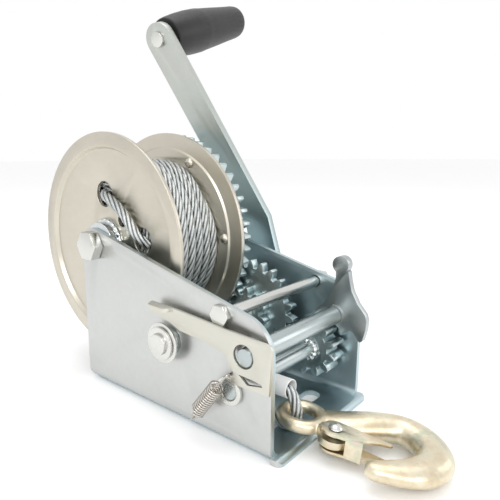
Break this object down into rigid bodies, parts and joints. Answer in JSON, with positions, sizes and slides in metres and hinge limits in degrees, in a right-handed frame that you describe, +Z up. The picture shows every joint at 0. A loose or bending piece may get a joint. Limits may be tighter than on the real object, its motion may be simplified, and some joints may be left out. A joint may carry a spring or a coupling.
{
  "type": "boat trailer winch",
  "caption": "Hand winch for a boat trailer: channel frame, geared drum wound with steel cable, crank with black grip, and a safety hook.",
  "frame": {"origin": "underside of the base, midway between the side plates, at their front edge", "axes": "+X toward the crank side, +Y toward the rear, +Z up"},
  "size_m": [0.1631, 0.2657, 0.2511],
  "materials": {
    "plate": "satin zinc plate",
    "bright": "bright zinc plate",
    "gear_steel": "dull zinc plate",
    "drum_steel": "satin zinc plate, slightly yellow",
    "cable": "stranded bright wire rope",
    "ferrule": "crimped sleeve",
    "tag": "plain white tag, blank",
    "grip_plastic": "moulded satin black",
    "pawl_steel": "dull grey plate",
    "latch_steel": "satin yellow-white plate",
    "spring_steel": "bright wire",
    "hook_steel": "gold chromate over a forged skin"
  },
  "bodies": {
    "frame_body": {"frame": "plate", "drum_axle_bolt": "bright", "drum_axle_nut": "bright", "drum_spacer": "gear_steel", "tie_bolt": "gear_steel", "side_nuts": "bright", "pawl_rod": "gear_steel", "crank_shaft_bushes": "gear_steel", "front_bush_left": "bright", "front_bush_right": "bright", "cable_run": "cable", "cable_ferrule": "ferrule", "cable_tag": "tag", "latch_spring": "spring_steel"},
    "drum": {"drum_hub": "gear_steel", "left_flange": "drum_steel", "right_flange": "drum_steel", "main_gear": "gear_steel", "gear_rivets": "bright", "cable_winding": "cable", "cable_anchor": "cable"},
    "shift_carrier": {"shaft_washer": "bright"},
    "crank": {"crank_shaft": "gear_steel", "shaft_collar": "bright", "drive_pinion": "gear_steel", "reduction_gear": "gear_steel", "crank_arm": "plate", "crank_washer": "bright", "crank_nut": "bright", "grip_pin": "bright"},
    "grip_body": {"grip": "grip_plastic"},
    "low_gear": {"front_shaft": "gear_steel", "ratchet_pinion": "gear_steel"},
    "pawl": {"pawl_lever": "pawl_steel"},
    "shift_latch": {"latch_plate": "latch_steel"},
    "hook_body": {"hook": "hook_steel", "hook_latch_rivet": "bright", "hook_latch_spring": "spring_steel"},
    "hook_gate": {"hook_latch": "hook_steel"}
  },
  "joints": [
    {"name": "drum_spin", "type": "hinge", "parent": "frame_body", "child": "drum", "pos_m": [0, 0.13, 0.088], "axis": [1, 0, 0], "continuous": true},
    {"name": "shift_slide", "type": "slide", "parent": "frame_body", "child": "shift_carrier", "axis": [1, 0, 0], "range_m": [0, 0.004]},
    {"name": "crank_spin", "type": "hinge", "parent": "shift_carrier", "child": "crank", "pos_m": [0, 0.0662, 0.044], "axis": [1, 0, 0], "continuous": true},
    {"name": "grip_spin", "type": "hinge", "parent": "crank", "child": "grip_body", "pos_m": [0.01539, 0.13408, 0.21287], "axis": [0.9461, 0.1208, 0.3005], "continuous": true},
    {"name": "low_gear_spin", "type": "hinge", "parent": "frame_body", "child": "low_gear", "pos_m": [0, 0.0236, 0.0295], "axis": [1, 0, 0], "continuous": true},
    {"name": "pawl_tilt", "type": "hinge", "parent": "frame_body", "child": "pawl", "pos_m": [0.038, 0.0125, 0.05], "axis": [1, 0, 0], "range_deg": [-3, 3]},
    {"name": "latch_lift", "type": "hinge", "parent": "frame_body", "child": "shift_latch", "pos_m": [-0.048, 0.0125, 0.05], "axis": [1, 0, 0], "range_deg": [0, 6], "stiffness_Nm_per_rad": 0.6, "springref_deg": -8.59, "deforming": ["latch_spring"]},
    {"name": "hook_swing", "type": "hinge", "parent": "frame_body", "child": "hook_body", "pos_m": [-0.01892, 0.00952, 0.01384], "axis": [0.9751, 0.2215, 0], "range_deg": [-35, 0]},
    {"name": "hook_gate_swing", "type": "hinge", "parent": "hook_body", "child": "hook_gate", "pos_m": [-0.02099, -0.01974, 0.01123], "axis": [0.0205, -0.0901, 0.9957], "range_deg": [0, 30], "stiffness_Nm_per_rad": 0.05, "springref_deg": -22.92}
  ],
  "couplings": [
    {"joint": "crank_spin", "follows": "drum_spin", "ratio": -4.6364},
    {"joint": "low_gear_spin", "follows": "drum_spin", "ratio": 9.2727}
  ]
}
